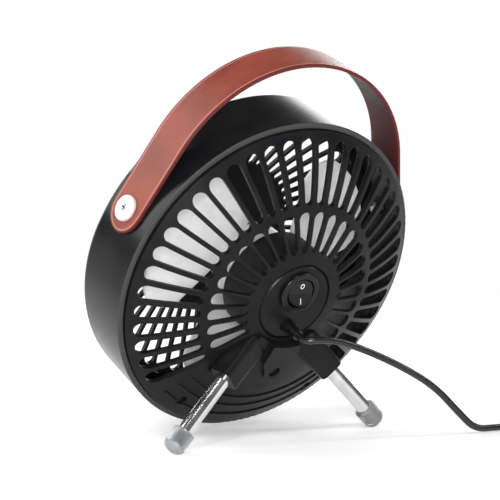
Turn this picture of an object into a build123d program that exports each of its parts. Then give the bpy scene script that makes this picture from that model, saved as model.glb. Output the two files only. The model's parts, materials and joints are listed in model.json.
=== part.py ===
from build123d import *
import math
import os

# USB desk fan: a short drum that leans back on two splayed legs, with a leather carry strap.
# Millimetres. +Z is up, the fan blows towards -Y, and the origin is on the floor under its middle.
# Fan coordinates (c, b, a): c to the right seen from behind, b up along the leaning drum, and
# a rearwards along the axis, from the plane of the drum's rear rim.

# Clearances, shared by every fit
overrun = 3.0            # how far a cut runs past the solid that it cuts
press_gap = 0.02         # between pieces pressed together
fit_gap = 0.1            # between pieces that slide together on assembly
shaft_gap = 0.05         # round a turning shaft or pin
swing_gap = 0.35         # round the tilting paddle

# Drum
lean = 22.56             # degrees that the fan looks up
drum_radius = 90.0
drum_depth = 40.0
drum_wall = 2.7
drum_front_round = 4.0
drum_rear_round = 0.8
ledge_depth = 3.0        # from a rim to the ledge that a grille sits on
ledge_wall = 2.0
ledge_width = 2.5
front_lip = 1.5          # flat ring round the front opening
lug_radius = 3.8         # lugs that take the rear grille's screws
lug_inset = 12.0         # from the drum's outside to the middle of a lug
lug_angle = 148.0        # degrees from straight up

# Rear grille
dome_rise = 25.0         # of the dome's middle over the rim's plane
grille_wall = 2.6
grille_gap = 0.4         # dark line round the grille
skirt_wall = 2.4
outer_slot_inset = 6.5   # from the drum's outside to the slots' outer ends
outer_slot_in = 52.6
inner_slot_out = 49.2
inner_slot_gap = 0.3     # from the boss to the slots' inner ends
bar_width = 2.4
inner_bar_width = 1.6
outer_slots_around = 46  # a full ring's count: the solid sector leaves some out
outer_slots_cut = 34
inner_slots_cut = 22
inner_pitch_share = 1.5  # two inner slots for three outer ones
boss_width = 5.8         # of the ring under the hub that the motor housing is screwed to
boss_face = 18.0         # height of that ring's flat face
ridge_insets = (10.0, 18.0, 25.0)  # from the drum's outside
ridge_width = 1.2
ridge_height = 0.7
ridge_half_angle = 41.0  # degrees each side of straight down
grille_screw_head = 2.8
grille_screw_shank = 1.3
grille_screw_pad = 1.8
grille_screw_head_height = 1.6

# Front grille
front_rise = 20.0
front_wall = 2.4
front_slots = 50
front_bar_width = 1.8
front_slot_inset = 4.0   # from the front opening to the slots' outer ends
front_cap_radius = 44.0

# Hub cover
hub_radius = 21.0
hub_gap = 0.7
hub_step = 1.5           # width of the step that the cover sits on
hub_seat = 20.4          # height of that step
hub_top = 24.0
hub_plate = 2.0
hub_rim = 2.5
hub_bevel = 0.8
hub_pry_depth = 1.1      # of the flat at the foot of the cover, where a blade lifts it
dimple_radius = 14.0
dimple_depth = 1.0

# Round rocker switch
switch_rise = 6.5        # of its middle over the fan's axis
bezel_radius = 11.5
bezel_height = 2.2
bezel_round = 0.9
switch_body_radius = 10.0
switch_depth = 13.7
paddle_radius = 8.0
paddle_throw = 26.0      # degrees between off and on
paddle_crest = 2.5       # from the pin to the valley between the paddle's two faces
paddle_sunk = 0.3        # of the pressed face under the bezel's top
paddle_keel = 3.0        # from the pin to the paddle's underside
pin_radius = 1.0
pin_half_length = 9.4
terminal_width = 4.8
terminal_wall = 0.8
terminal_length = 6.3
terminal_spread = 4.0

# Motor housing
housing_wall = 2.0
housing_front = -1.5     # height of its front face
housing_floor = 2.5
tube_radius = 5.5
tube_length = 14.5
bearing_radius = 4.0
bearing_height = 4.0
tube_shoulder = 1.0
motor_screw_count = 3
motor_screw_inset = 3.5  # from the housing's outside
motor_screw_post = 3.3
motor_screw_pad = 3.0    # of the post that the head clamps
motor_screw_shank = 1.2
motor_screw_head = 2.2
motor_screw_head_height = 1.5
motor_screw_bite = 3.4

# Motor
shaft_radius = 1.5
shaft_rear = 2.0
board_inset = 2.2        # from the rotor's outside
board_bore = 6.2
board_wall = 1.2
stator_radius = 15.6
stator_arms = 4
stator_height = 5.0
stator_middle = -10.0
stator_shoe = 2.8
stator_arm_width = 4.0
stator_slot = 5.0
stator_ring = 2.0
coil_build = 2.1
winding_in = 8.0
winding_out = 12.0
magnet_gap = 0.6
magnet_wall = 1.9
ring_wall = 1.3
ring_length = 11.0
magnet_length = 9.6
clip_radius = 2.8
clip_wall = 0.6
clip_gap = 0.3

# Rotor
rotor_wall = 2.76
rotor_rear = -4.0
rotor_length = 21.0
rotor_front_wall = 2.5
rotor_round = 3.0
rotor_boss = 4.0
rotor_boss_length = 5.0
blade_count = 3
blade_tip_inset = 19.0   # from the drum's outside
blade_wall = 1.8
blade_middle = -20.0
blade_root_width = 44.0  # degrees that a blade covers at the cup
blade_width = 78.0       # and at its tip
blade_rest = 68.5        # degrees from straight up to a blade's middle
blade_root_pitch = 16.0
blade_tip_pitch = 7.0
blade_camber = 2.5
blade_corner = 14.0
blade_sweep = 47.0       # degrees that the tip runs ahead of the root

# Carry strap
strap_width = 24.6
strap_wall = 1.8
strap_middle = -20.0
strap_narrow = 15.5      # how much smaller the arch's radius is than the drum's
strap_gap = 26.6         # for fingers, over the drum
strap_screw_head = 6.75
strap_screw_height = 2.0
strap_screw_round = 0.7
strap_screw_shank = 2.0
strap_screw_length = 10.5
cross_length = 3.4
cross_width = 0.9
cross_depth = 0.9
nut_radius = 4.0
nut_height = 3.2

# Stand
plate_inset = 34.0       # from the drum's outside to the plate's edge
plate_gap = 2.6          # from the hub cover's hole to the plate
plate_wall = 2.4
plate_half_angle = 42.0
leg_splay = 49.0         # degrees from straight down, along the disc
leg_lift = 19.3          # degrees away from the disc
leg_exit_out = 34.7      # where a tube leaves its sleeve: sideways, down, and off the dome
leg_exit_down = 41.2
leg_exit_off = 10.33
sleeve_width = 14.0
sleeve_height = 12.5
sleeve_round = 3.0
sleeve_length = 26.0
sleeve_draft = 2.0
socket_depth = 9.0
leg_radius = 4.0
leg_wall = 1.0
cap_radius = 5.9
cap_length = 11.6
cap_socket = 8.0
cap_round = 3.8
cap_flat = 0.5           # how much of the cap's lowest edge is worn flat
tongue_radius = 41.0     # of the bracket screw's place
tongue_lobe = 6.4
tongue_width = 18.0      # at the hub
tongue_shoulder = 20.0   # across its widest
tongue_shoulder_rise = 6.5
tongue_length = 19.0
tongue_wall = 4.4
bracket_screw_head = 3.2
bracket_screw_shank = 1.5
bracket_screw_height = 1.8
bracket_screw_recess = 3.2
bracket_screw_length = 7.5

# Cord, its relief and its plug
cord_radius = 1.9
cord_sides = 8
relief_drop = 14.0       # of its middle under the fan's axis
relief_root = 3.4
relief_tip = 2.9
relief_reach = 9.5       # from the hub cover's face to the tip
relief_flange = 4.4
relief_grooves = 3
relief_groove = 0.9      # width of a groove, and of the ring between two
relief_groove_depth = 0.5
relief_flange_wall = 2.0
wire_radius = 0.6
wire_spread = 1.2
wire_bend = 2.0
wire_level = 7.0         # height at which the wires reach the terminals
board_wire_drop = 8.0
coil_pitch = 4.5
coil_middle_radius = 21.0
coil_turns = 3
coil_layer = 4.4
coil_climb = 0.5         # turns in which it climbs to the upper layer
coil_dip = 0.8           # how far it swings in as it climbs
coil_step = 0.25         # turns from one tangent point to the next
coil_turn_apart = 0.3    # turns along the line before its gap to itself is measured
coil_swing = 0.25        # turns in which the tail moves out past the coil
coil_swing_out = 5.4
relief_straight = 6.0
bend_share = 0.45        # of the shorter run that a bend takes up
coil_tail = 12.0
tie_wall = 0.6
tie_width = 8.0
tie_slack = 0.7
plug_socket = 3.8
plug_lift = 0.1
plug_neck_base = 3.9
shell_bite = 6.7
tongue_inset = 0.6
plug_width = 16.0
plug_height = 8.6
plug_length = 24.0
plug_round = 2.0
plug_neck_length = 9.0
plug_neck_radius = 3.1
shell_width = 12.0
shell_height = 4.5
shell_length = 18.7
shell_wall = 0.3
tongue_height = 1.9
coil_place = (-189.0, 49.5)

# Derived sizes
tilt = math.radians(lean)
drum_bore = drum_radius - drum_wall
grille_radius = drum_bore - grille_gap
dome_ball = (drum_radius**2 + dome_rise**2) / (2 * dome_rise)
dome_centre = dome_rise - dome_ball
front_bore = drum_radius - drum_front_round - front_lip
front_radius = front_bore - grille_gap
front_ball = (front_bore**2 + front_rise**2) / (2 * front_rise)
front_centre = front_ball - front_rise - drum_depth
magnet_bore = stator_radius + magnet_gap
magnet_radius = magnet_bore + magnet_wall
ring_radius = magnet_radius + press_gap + ring_wall
rotor_bore = ring_radius + press_gap
rotor_radius = rotor_bore + rotor_wall
hub_hole = hub_radius + hub_gap
hub_ledge = hub_radius - hub_step
boss_radius = max(rotor_radius, hub_hole) + boss_width
housing_radius = boss_radius
motor_screw_circle = housing_radius - motor_screw_inset
board_radius = rotor_radius - board_inset
blade_tip = drum_radius - blade_tip_inset
lug_centre = drum_radius - lug_inset
outer_slot_out = drum_radius - outer_slot_inset
inner_slot_in = boss_radius + inner_slot_gap
front_slot_out = front_bore - front_slot_inset
plate_out = drum_radius - plate_inset
plate_in = hub_hole + plate_gap
outer_pitch = 360 / outer_slots_around
inner_pitch = inner_pitch_share * outer_pitch
strap_seat = drum_radius + fit_gap
strap_arch = strap_seat - strap_narrow
strap_rise = strap_narrow + strap_gap
strap_angle = math.acos(strap_narrow / strap_rise)
strap_end_angle = strap_angle + strap_width / 2 / strap_seat
strap_top = strap_rise + strap_arch + strap_wall
cord_floor = cord_radius + tie_wall + fit_gap
bearing_bore = bearing_radius + press_gap
housing_bore = housing_radius - housing_wall

# The fan's plane: its origin is the centre of the drum's rear rim
rim_height = ((drum_radius - drum_rear_round) * math.cos(tilt)
              + drum_rear_round * (1 - math.sin(tilt)))
reach_front = min(
    front_centre * math.cos(tilt) - front_ball,
    -(drum_depth - drum_front_round) * math.cos(tilt)
    - (drum_radius - drum_front_round) * math.sin(tilt) - drum_front_round)
reach_back = ((strap_middle + strap_width / 2) * math.cos(tilt)
              + strap_top * math.sin(tilt))
FAN = Plane(
    origin=(0, -(reach_front + reach_back) / 2, rim_height),
    x_dir=(-1, 0, 0),
    z_dir=(0, math.cos(tilt), -math.sin(tilt)))
FAN_AXIS = Axis(FAN.origin, FAN.z_dir)


def fan_point(c, b, a):
    """The point at fan coordinates (c, b, a)."""
    return FAN.from_local_coords(Vector(c, b, a))


def fan_vector(c, b, a):
    """The direction with fan components (c, b, a)."""
    return fan_point(c, b, a) - FAN.origin


def section_plane(angle):
    """The half plane through the axis at an angle from straight up: local x is radius, local y is a."""
    out = fan_vector(math.sin(angle), math.cos(angle), 0)
    return Plane(origin=FAN.origin, x_dir=out, z_dir=out.cross(FAN.z_dir))


def fan_plane(c, b, a):
    """A plane like the fan's, moved to fan coordinates (c, b, a)."""
    return Plane(origin=fan_point(c, b, a), x_dir=FAN.x_dir, z_dir=FAN.z_dir)


def around(radius, angle):
    """Sketch point on the fan's plane, at an angle in radians from straight up."""
    return (radius * math.sin(angle), radius * math.cos(angle))


def dome(radius, inset=0.0):
    """Height of the rear dome's surface, or of one inset under it."""
    return dome_centre + math.sqrt((dome_ball - inset)**2 - radius**2)


def front_dome(radius, inset=0.0):
    """Height of the front dome's surface, or of one inset behind it."""
    return front_centre - math.sqrt((front_ball - inset)**2 - radius**2)


def radial_slot(inner, outer, pitch, bar):
    """A slot along +X between two bars of even width, with round ends that touch both bars."""
    half = math.radians(pitch) / 2
    out = (outer + bar / 2) / (1 + math.sin(half))
    back = (inner - bar / 2) / (1 - math.sin(half))
    out_round = outer - out
    back_round = back - inner
    lean_out = (out - out_round * math.sin(half), out_round * math.cos(half))
    lean_back = (back - back_round * math.sin(half), back_round * math.cos(half))
    with BuildSketch() as slot:
        with BuildLine():
            Line(lean_back, lean_out)
            ThreePointArc(lean_out, (outer, 0), (lean_out[0], -lean_out[1]))
            Line((lean_out[0], -lean_out[1]), (lean_back[0], -lean_back[1]))
            ThreePointArc((lean_back[0], -lean_back[1]), (inner, 0), lean_back)
        make_face()
    return slot.sketch


os.makedirs("parts", exist_ok=True)
made = []


def keep(builder, label):
    """Label a finished piece and write its STEP file."""
    builder.part.label = label
    export_step(builder.part, f"parts/{label}.step")
    made.append(builder.part)


# Places that several pieces share
strap_sides = (1, -1)
strap_planes = []
for side in strap_sides:
    out = fan_vector(side * math.sin(strap_angle), math.cos(strap_angle), 0)
    place = fan_point(*around(strap_seat, side * strap_angle), strap_middle)
    strap_planes.append(Plane(origin=place, x_dir=FAN.z_dir, z_dir=out))
lug_places = [around(lug_centre, side * math.radians(lug_angle)) for side in strap_sides]
lug_top = dome(lug_centre + lug_radius, grille_wall) - fit_gap
lug_depth = lug_top + ledge_depth + ledge_wall
tongue_tilt = math.asin(tongue_radius / dome_ball)
tongue_plane = Plane(origin=fan_point(0, -tongue_radius, dome(tongue_radius)), x_dir=FAN.x_dir,
                     z_dir=fan_vector(0, -math.sin(tongue_tilt), math.cos(tongue_tilt)))
pivot_height = hub_top + bezel_height - paddle_sunk - paddle_crest
board_wire_place = (terminal_spread, -board_wire_drop)
cord_wire_place = (wire_spread, -relief_drop)

# Drum: one turned wall with a ledge for each grille, and two lugs for the rear grille's screws
with BuildPart() as drum_shell:
    with BuildSketch(section_plane(math.pi / 2)):
        with BuildLine():
            Line((drum_bore, 0), (drum_radius - drum_rear_round, 0))
            CenterArc((drum_radius - drum_rear_round, -drum_rear_round), drum_rear_round, 90, -90)
            Line((drum_radius, -drum_rear_round), (drum_radius, drum_front_round - drum_depth))
            CenterArc((drum_radius - drum_front_round, drum_front_round - drum_depth),
                      drum_front_round, 0, -90)
            Polyline(
                (drum_radius - drum_front_round, -drum_depth),
                (front_bore, -drum_depth),
                (front_bore, ledge_depth - drum_depth),
                (front_bore - ledge_width, ledge_depth - drum_depth),
                (front_bore - ledge_width, ledge_depth + ledge_wall - drum_depth),
                (drum_bore, ledge_depth + ledge_wall - drum_depth),
                (drum_bore, -ledge_depth - ledge_wall),
                (drum_bore - ledge_width, -ledge_depth - ledge_wall),
                (drum_bore - ledge_width, -ledge_depth),
                (drum_bore, -ledge_depth),
                (drum_bore, 0))
        make_face()
    revolve(axis=FAN_AXIS)
    for side, place in zip(strap_sides, lug_places):
        turned = Plane(origin=fan_point(*place, lug_top - lug_depth),
                       x_dir=fan_vector(*place, 0), z_dir=FAN.z_dir)
        with BuildSketch(turned):
            Circle(lug_radius)
            with Locations(((drum_bore - lug_centre) / 2, 0)):
                Rectangle(drum_bore - lug_centre, 2 * lug_radius)
        extrude(amount=ledge_wall)
        with BuildSketch(turned):
            Circle(lug_radius)
            with Locations(((grille_radius - skirt_wall - lug_centre) / 4, 0)):
                Rectangle((grille_radius - skirt_wall - lug_centre) / 2, 2 * lug_radius)
        extrude(amount=lug_depth)
        with BuildSketch(turned):
            Circle(grille_screw_shank + press_gap)
        extrude(amount=lug_depth, mode=Mode.SUBTRACT)
    for plane in strap_planes:
        with BuildSketch(plane):
            Circle(strap_screw_shank + fit_gap)
        extrude(amount=-(drum_wall + overrun), mode=Mode.SUBTRACT)
keep(drum_shell, "drum_shell")

# Rear grille: a domed cover with two rings of slots, a solid sector and a ring boss for the motor
outer_half_range = (outer_slots_cut - 1) * outer_pitch / 2
inner_half_range = (inner_slots_cut - 1) * inner_pitch / 2
with BuildPart() as rear_grille:
    with BuildSketch(section_plane(math.pi / 2)):
        skirt_in = grille_radius - skirt_wall
        with BuildLine():
            ThreePointArc((hub_hole, dome(hub_hole)), (inner_slot_out, dome(inner_slot_out)),
                          (grille_radius, dome(grille_radius)))
            Polyline(
                (grille_radius, dome(grille_radius)),
                (grille_radius, -ledge_depth),
                (skirt_in, -ledge_depth),
                (skirt_in, dome(skirt_in, grille_wall)))
            ThreePointArc((skirt_in, dome(skirt_in, grille_wall)),
                          (inner_slot_out, dome(inner_slot_out, grille_wall)),
                          (boss_radius, dome(boss_radius, grille_wall)))
            Polyline(
                (boss_radius, dome(boss_radius, grille_wall)),
                (boss_radius, boss_face),
                (hub_ledge, boss_face),
                (hub_ledge, hub_seat),
                (hub_hole, hub_seat),
                (hub_hole, dome(hub_hole)))
        make_face()
    revolve(axis=FAN_AXIS)
    for inset in ridge_insets:
        radius = drum_radius - inset
        with BuildSketch(section_plane(math.pi + math.radians(ridge_half_angle))):
            inside = radius - ridge_width / 2
            outside = radius + ridge_width / 2
            with BuildLine():
                Polyline(
                    (inside, dome(inside, grille_wall / 2)),
                    (inside, dome(inside) + ridge_height),
                    (outside, dome(outside) + ridge_height),
                    (outside, dome(outside, grille_wall / 2)),
                    close=True)
            make_face()
        revolve(axis=FAN_AXIS, revolution_arc=2 * ridge_half_angle)
    with BuildSketch(FAN):
        outer_slot = radial_slot(outer_slot_in, outer_slot_out, outer_pitch, bar_width)
        inner_slot = radial_slot(inner_slot_in, inner_slot_out, inner_pitch, inner_bar_width)
        with PolarLocations(0, outer_slots_cut, 90 - outer_half_range, 2 * outer_half_range, endpoint=True):
            add(outer_slot)
        with PolarLocations(0, inner_slots_cut, 90 - inner_half_range, 2 * inner_half_range, endpoint=True):
            add(inner_slot)
    extrude(amount=dome_rise + overrun, mode=Mode.SUBTRACT)
    for place in lug_places:
        with BuildSketch(fan_plane(*place, lug_top)):
            Circle(lug_radius)
        extrude(amount=dome(lug_centre, grille_wall / 2) - lug_top)
        with BuildSketch(fan_plane(*place, lug_top + grille_screw_pad)):
            Circle(grille_screw_head + fit_gap)
        extrude(amount=dome_rise, mode=Mode.SUBTRACT)
        with BuildSketch(fan_plane(*place, lug_top)):
            Circle(grille_screw_shank + fit_gap)
        extrude(amount=grille_screw_pad, mode=Mode.SUBTRACT)
    with BuildSketch(fan_plane(0, 0, boss_face)):
        with PolarLocations(motor_screw_circle, motor_screw_count, 90):
            Circle(motor_screw_shank + press_gap)
    extrude(amount=motor_screw_bite, mode=Mode.SUBTRACT)
    with BuildSketch(tongue_plane.offset(overrun)):
        Circle(bracket_screw_shank + press_gap)
    extrude(amount=-(grille_wall + 2 * overrun), mode=Mode.SUBTRACT)
keep(rear_grille, "rear_grille")

# Front grille: a dome with one ring of long slots round a plain cap
with BuildPart() as front_grille:
    with BuildSketch(section_plane(math.pi / 2)):
        front_skirt = front_radius - skirt_wall
        with BuildLine():
            ThreePointArc((0, front_dome(0)), (front_cap_radius, front_dome(front_cap_radius)),
                          (front_radius, front_dome(front_radius)))
            Polyline(
                (front_radius, front_dome(front_radius)),
                (front_radius, ledge_depth - drum_depth),
                (front_skirt, ledge_depth - drum_depth),
                (front_skirt, front_dome(front_skirt, front_wall)))
            ThreePointArc((front_skirt, front_dome(front_skirt, front_wall)),
                          (front_cap_radius, front_dome(front_cap_radius, front_wall)),
                          (0, front_dome(0, front_wall)))
            Line((0, front_dome(0, front_wall)), (0, front_dome(0)))
        make_face()
    revolve(axis=FAN_AXIS)
    with BuildSketch(fan_plane(0, 0, ledge_depth - drum_depth)):
        front_slot = radial_slot(front_cap_radius, front_slot_out, 360 / front_slots, front_bar_width)
        with PolarLocations(0, front_slots, 180 / front_slots + 90):
            add(front_slot)
    extrude(amount=-(front_rise + ledge_depth + overrun), mode=Mode.SUBTRACT)
keep(front_grille, "front_grille")

# Hub cover: a shallow cap with holes for the switch and for the cord
with BuildPart() as hub_cover:
    with BuildSketch(section_plane(math.pi / 2)):
        with BuildLine():
            Polyline(
                (0, hub_top - hub_plate),
                (hub_radius - hub_rim, hub_top - hub_plate),
                (hub_radius - hub_rim, hub_seat),
                (hub_radius, hub_seat),
                (hub_radius, hub_top - hub_bevel),
                (hub_radius - hub_bevel, hub_top),
                (0, hub_top),
                close=True)
        make_face()
    revolve(axis=FAN_AXIS)
    with Locations(fan_point(0, -relief_drop, hub_top + dimple_radius - dimple_depth)):
        Sphere(dimple_radius, mode=Mode.SUBTRACT)
    with BuildSketch(fan_plane(0, 0, hub_seat)):
        with Locations((0, switch_rise)):
            Circle(switch_body_radius + fit_gap)
        with Locations((0, -relief_drop)):
            Circle(relief_root + fit_gap)
        with Locations((0, hub_pry_depth - hub_radius)):
            Rectangle(2 * hub_radius, hub_radius, align=(Align.CENTER, Align.MAX))
    extrude(amount=hub_top, mode=Mode.SUBTRACT)
keep(hub_cover, "hub_cover")

# Switch body: a round bezel on a round barrel, hollow round the paddle
with BuildPart() as switch_body:
    with BuildSketch(fan_plane(0, switch_rise, hub_top)):
        Circle(bezel_radius)
    extrude(amount=bezel_height)
    fillet(switch_body.faces().sort_by(Axis(FAN.origin, FAN.z_dir))[-1].edges(), bezel_round)
    with BuildSketch(fan_plane(0, switch_rise, hub_top)):
        Circle(switch_body_radius)
    extrude(amount=-switch_depth)
    with BuildSketch(fan_plane(0, switch_rise, pivot_height - paddle_radius - swing_gap)):
        Circle(paddle_radius + swing_gap)
    extrude(amount=dome_rise, mode=Mode.SUBTRACT)
    with BuildSketch(Plane(origin=fan_point(0, switch_rise, pivot_height), x_dir=FAN.y_dir, z_dir=FAN.x_dir)):
        Circle(pin_radius + press_gap)
    extrude(amount=pin_half_length + fit_gap, both=True, mode=Mode.SUBTRACT)
keep(switch_body, "switch_body")

# Rocker: a ball-sided paddle with two faces that meet in a valley, at rest with its upper face pressed
with BuildPart() as rocker:
    lean_half = math.radians(paddle_throw) / 2
    pivot = Plane(origin=fan_point(0, switch_rise, pivot_height), x_dir=FAN.y_dir, z_dir=FAN.x_dir)
    rise = paddle_radius * math.tan(2 * lean_half)
    keel = paddle_keel / math.cos(lean_half)
    keel_slope = paddle_radius * math.tan(lean_half)
    with BuildSketch(pivot):
        with BuildLine():
            Polyline(
                (0, paddle_crest),
                (paddle_radius, paddle_crest),
                (paddle_radius, -keel - keel_slope),
                (-paddle_radius, -keel + keel_slope),
                (-paddle_radius, paddle_crest + rise),
                close=True)
        make_face()
    extrude(amount=paddle_radius, both=True)
    with Locations(pivot.origin):
        Sphere(paddle_radius, mode=Mode.INTERSECT)
    with BuildSketch(pivot):
        Circle(pin_radius + shaft_gap)
    extrude(amount=paddle_radius, both=True, mode=Mode.SUBTRACT)
keep(rocker, "rocker")

with BuildPart() as rocker_pin:
    with BuildSketch(pivot):
        Circle(pin_radius)
    extrude(amount=pin_half_length, both=True)
keep(rocker_pin, "rocker_pin")

# Switch terminals: two flat blades on the back of the barrel
with BuildPart() as switch_terminals:
    with BuildSketch(fan_plane(0, switch_rise, hub_top - switch_depth)):
        with Locations((-terminal_spread, 0), (terminal_spread, 0)):
            Rectangle(terminal_wall, terminal_width)
    extrude(amount=-terminal_length)
keep(switch_terminals, "switch_terminals")

# Motor housing: a cup under the hub, with a bearing tube through its floor and three screw posts
tube_end = housing_front - tube_length
rear_bearing_seat = housing_front + housing_floor - shaft_gap - bearing_height - clip_gap
front_bearing_seat = tube_end + bearing_height
shoulder_bore = bearing_bore - tube_shoulder
motor_screw_seat = boss_face - motor_screw_pad
with BuildPart() as motor_housing:
    with BuildSketch(section_plane(math.pi / 2)):
        with BuildLine():
            Polyline(
                (housing_bore, boss_face),
                (housing_radius, boss_face),
                (housing_radius, housing_front),
                (tube_radius, housing_front),
                (tube_radius, tube_end),
                (bearing_bore, tube_end),
                (bearing_bore, front_bearing_seat),
                (shoulder_bore, front_bearing_seat),
                (shoulder_bore, rear_bearing_seat),
                (bearing_bore, rear_bearing_seat),
                (bearing_bore, housing_front + housing_floor),
                (housing_bore, housing_front + housing_floor),
                close=True)
        make_face()
    revolve(axis=FAN_AXIS)
    with BuildSketch(fan_plane(0, 0, housing_front)):
        with PolarLocations(motor_screw_circle, motor_screw_count, 90):
            Circle(motor_screw_post)
    extrude(amount=boss_face - housing_front)
    with BuildSketch(fan_plane(0, 0, housing_front)):
        with PolarLocations(motor_screw_circle, motor_screw_count, 90):
            Circle(motor_screw_head + fit_gap)
    extrude(amount=motor_screw_seat - housing_front, mode=Mode.SUBTRACT)
    with BuildSketch(fan_plane(0, 0, motor_screw_seat)):
        with PolarLocations(motor_screw_circle, motor_screw_count, 90):
            Circle(motor_screw_shank + fit_gap)
    extrude(amount=motor_screw_pad, mode=Mode.SUBTRACT)
    with BuildSketch(fan_plane(0, 0, housing_front)):
        with Locations(board_wire_place, cord_wire_place):
            Circle(wire_radius + fit_gap)
    extrude(amount=housing_floor, mode=Mode.SUBTRACT)
keep(motor_housing, "motor_housing")

with BuildPart() as motor_screws:
    with BuildSketch(fan_plane(0, 0, motor_screw_seat)):
        with PolarLocations(motor_screw_circle, motor_screw_count, 90):
            Circle(motor_screw_head)
    extrude(amount=-motor_screw_head_height)
    with BuildSketch(fan_plane(0, 0, motor_screw_seat)):
        with PolarLocations(motor_screw_circle, motor_screw_count, 90):
            Circle(motor_screw_shank)
    extrude(amount=motor_screw_pad + motor_screw_bite - fit_gap)
keep(motor_screws, "motor_screws")

# Motor: bearings in the tube, a four-armed stator round it, and a ring magnet in the rotor's cup
with BuildPart() as shaft_bearings:
    with BuildSketch(fan_plane(0, 0, rear_bearing_seat)):
        Circle(bearing_radius)
        Circle(shaft_radius + shaft_gap, mode=Mode.SUBTRACT)
    extrude(amount=bearing_height)
    with BuildSketch(fan_plane(0, 0, front_bearing_seat)):
        Circle(bearing_radius)
        Circle(shaft_radius + shaft_gap, mode=Mode.SUBTRACT)
    extrude(amount=-bearing_height)
keep(shaft_bearings, "shaft_bearings")

with BuildPart() as motor_board:
    with BuildSketch(fan_plane(0, 0, housing_front)):
        Circle(board_radius)
        Circle(board_bore, mode=Mode.SUBTRACT)
    extrude(amount=-board_wall)
keep(motor_board, "motor_board")

with BuildPart() as stator_core:
    with BuildSketch(fan_plane(0, 0, stator_middle - stator_height / 2)):
        Circle(stator_radius)
        Circle(stator_radius - stator_shoe, mode=Mode.SUBTRACT)
        with PolarLocations(stator_radius, stator_arms, 180 / stator_arms):
            Rectangle(2 * stator_shoe + stator_slot, stator_slot, mode=Mode.SUBTRACT)
        Circle(tube_radius + press_gap + stator_ring)
        with PolarLocations((stator_radius - stator_shoe / 2) / 2, stator_arms):
            Rectangle(stator_radius - stator_shoe / 2, stator_arm_width)
        Circle(tube_radius + press_gap, mode=Mode.SUBTRACT)
    extrude(amount=stator_height)
keep(stator_core, "stator_core")

with BuildPart() as stator_windings:
    for arm in range(stator_arms):
        angle = 2 * math.pi * arm / stator_arms
        foot = Plane(origin=fan_point(*around(winding_in, angle), stator_middle),
                     x_dir=FAN.z_dir, z_dir=fan_vector(*around(1, angle), 0))
        with BuildSketch(foot):
            RectangleRounded(stator_height + 2 * coil_build, stator_arm_width + 2 * coil_build,
                             coil_build / 2)
            Rectangle(stator_height + 2 * fit_gap, stator_arm_width + 2 * fit_gap, mode=Mode.SUBTRACT)
        extrude(amount=winding_out - winding_in)
keep(stator_windings, "stator_windings")

with BuildPart() as rotor_magnet:
    with BuildSketch(fan_plane(0, 0, stator_middle - magnet_length / 2)):
        Circle(magnet_radius)
        Circle(magnet_bore, mode=Mode.SUBTRACT)
    extrude(amount=magnet_length)
keep(rotor_magnet, "rotor_magnet")

with BuildPart() as rotor_ring:
    with BuildSketch(fan_plane(0, 0, stator_middle - ring_length / 2)):
        Circle(ring_radius)
        Circle(magnet_radius + press_gap, mode=Mode.SUBTRACT)
    extrude(amount=ring_length)
keep(rotor_ring, "rotor_ring")

rotor_front = rotor_rear - rotor_length
shaft_front = rotor_front + rotor_front_wall / 2
clip_seat = housing_front + housing_floor - shaft_gap
with BuildPart() as rotor_shaft:
    with BuildSketch(fan_plane(0, 0, shaft_front)):
        Circle(shaft_radius)
    extrude(amount=shaft_rear - shaft_front)
keep(rotor_shaft, "rotor_shaft")

with BuildPart() as shaft_clip:
    with BuildSketch(fan_plane(0, 0, clip_seat)):
        Circle(clip_radius)
        Circle(shaft_radius + press_gap, mode=Mode.SUBTRACT)
        with Locations((0, clip_radius)):
            Rectangle(shaft_radius, clip_radius, mode=Mode.SUBTRACT)
    extrude(amount=clip_wall)
keep(shaft_clip, "shaft_clip")


# Blade: a cambered plate lofted from root to tip, cut to a petal with round corners
def blade_section(radius, pitch):
    """The blade's section across a radius, on the plane at that distance from the axis."""
    half = radius * math.tan(math.radians(blade_width + blade_sweep) / 2) + overrun
    drop = half * math.tan(math.radians(pitch))
    wall = blade_wall / 2
    plane = Plane(origin=fan_point(0, radius, blade_middle), x_dir=FAN.x_dir, z_dir=FAN.y_dir)
    with BuildSketch(plane) as section:
        with BuildLine():
            ThreePointArc((-half, wall - drop), (0, wall - blade_camber), (half, wall + drop))
            Line((half, wall + drop), (half, drop - wall))
            ThreePointArc((half, drop - wall), (0, -wall - blade_camber), (-half, -drop - wall))
            Line((-half, -drop - wall), (-half, wall - drop))
        make_face()
    return section.sketch.face()


root_radius = rotor_radius - rotor_wall / 2
with BuildPart() as blade:
    root = blade_section(root_radius, blade_root_pitch)
    tip = blade_section(blade_tip, blade_tip_pitch)
    loft([root, tip], ruled=True)
    with BuildSketch(FAN):
        half = math.radians(blade_width) / 2
        root_half = math.radians(blade_root_width) / 2
        ahead = math.radians(blade_sweep) / 2
        with BuildLine():
            Line(around(root_radius, ahead - root_half), around(blade_tip, -half - ahead))
            ThreePointArc(around(blade_tip, -half - ahead), around(blade_tip, -ahead),
                          around(blade_tip, half - ahead))
            Line(around(blade_tip, half - ahead), around(root_radius, ahead + root_half))
            Line(around(root_radius, ahead + root_half), around(root_radius, ahead - root_half))
        petal = make_face()
        fillet(petal.vertices().sort_by_distance((0, 0))[-2:], blade_corner)
    extrude(amount=drum_radius, both=True, mode=Mode.INTERSECT)

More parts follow.
